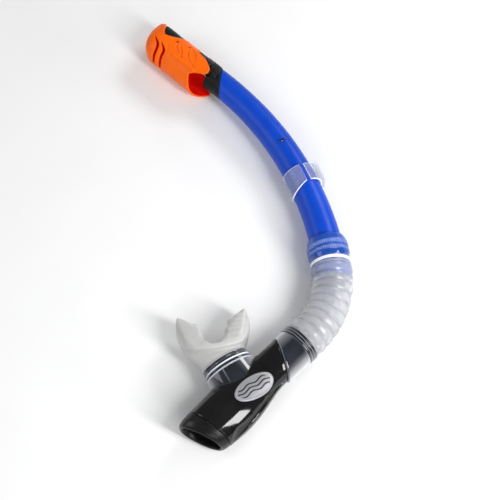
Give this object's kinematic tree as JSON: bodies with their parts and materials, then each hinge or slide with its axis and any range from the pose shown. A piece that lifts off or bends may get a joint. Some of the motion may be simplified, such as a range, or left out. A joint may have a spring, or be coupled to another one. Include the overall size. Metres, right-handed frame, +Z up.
{
  "type": "snorkel",
  "caption": "Snorkel with a vented splash guard, a curved barrel with a strap keeper, a corrugated flexible hose, a purge chamber and a bite mouthpiece.",
  "frame": {"origin": "centre of the footprint of the snorkel lying on its side, on the surface it lies on", "axes": "+Z up, square to the flat plane of the centreline; +Y along the longest extent, from the purge cap to the splash guard; +X towards the hose's bend"},
  "size_m": [0.1832, 0.414, 0.0373],
  "materials": {
    "guard_orange": "satin moulded orange",
    "core_black": "fine matt black",
    "barrel_blue": "gloss blue",
    "keeper_clear": "clear soft plastic",
    "collar_clear": "clear polycarbonate",
    "hose_silicone": "clear silicone",
    "body_clear": "clear polycarbonate",
    "shell_black": "high gloss black",
    "badge_silver": "brushed silver, blank",
    "cap_black": "satin black",
    "valve_silicone": "translucent silicone",
    "mouth_silicone": "translucent silicone"
  },
  "bodies": {
    "chamber": {"chamber_body": "body_clear", "chamber_shell": "shell_black", "badge_plate": "badge_silver", "purge_cap": "cap_black", "purge_valve_seat": "cap_black", "lower_hose_ring": "collar_clear", "mouthpiece_band": "collar_clear", "mouthpiece": "mouth_silicone", "flex_hose": "hose_silicone"},
    "purge_flap": {"purge_valve": "valve_silicone"},
    "collar": {"upper_collar": "collar_clear"},
    "barrel": {"barrel": "barrel_blue", "guard_core": "core_black", "splash_guard": "guard_orange"},
    "keeper": {"strap_keeper": "keeper_clear"}
  },
  "joints": [
    {"name": "hose_bend", "type": "hinge", "parent": "chamber", "child": "collar", "pos_m": [0.07045, -0.08643, 0.0182], "axis": [0, 0, 1], "range_deg": [-25, 25], "stiffness_Nm_per_rad": 0.4, "deforming": ["flex_hose"]},
    {"name": "barrel_swivel", "type": "hinge", "parent": "collar", "child": "barrel", "pos_m": [0.07208, -0.03916, 0.0182], "axis": [-0.1566, 0.9877, 0], "range_deg": [-45, 45]},
    {"name": "keeper_slide", "type": "hinge", "parent": "barrel", "child": "keeper", "pos_m": [-0.23508, -0.08786, 0.0182], "axis": [0, 0, 1], "range_deg": [-3, 4]},
    {"name": "purge_valve_lift", "type": "slide", "parent": "chamber", "child": "purge_flap", "axis": [-0.7071, -0.7071, 0], "range_m": [0, 0.002], "stiffness_N_per_m": 40}
  ]
}
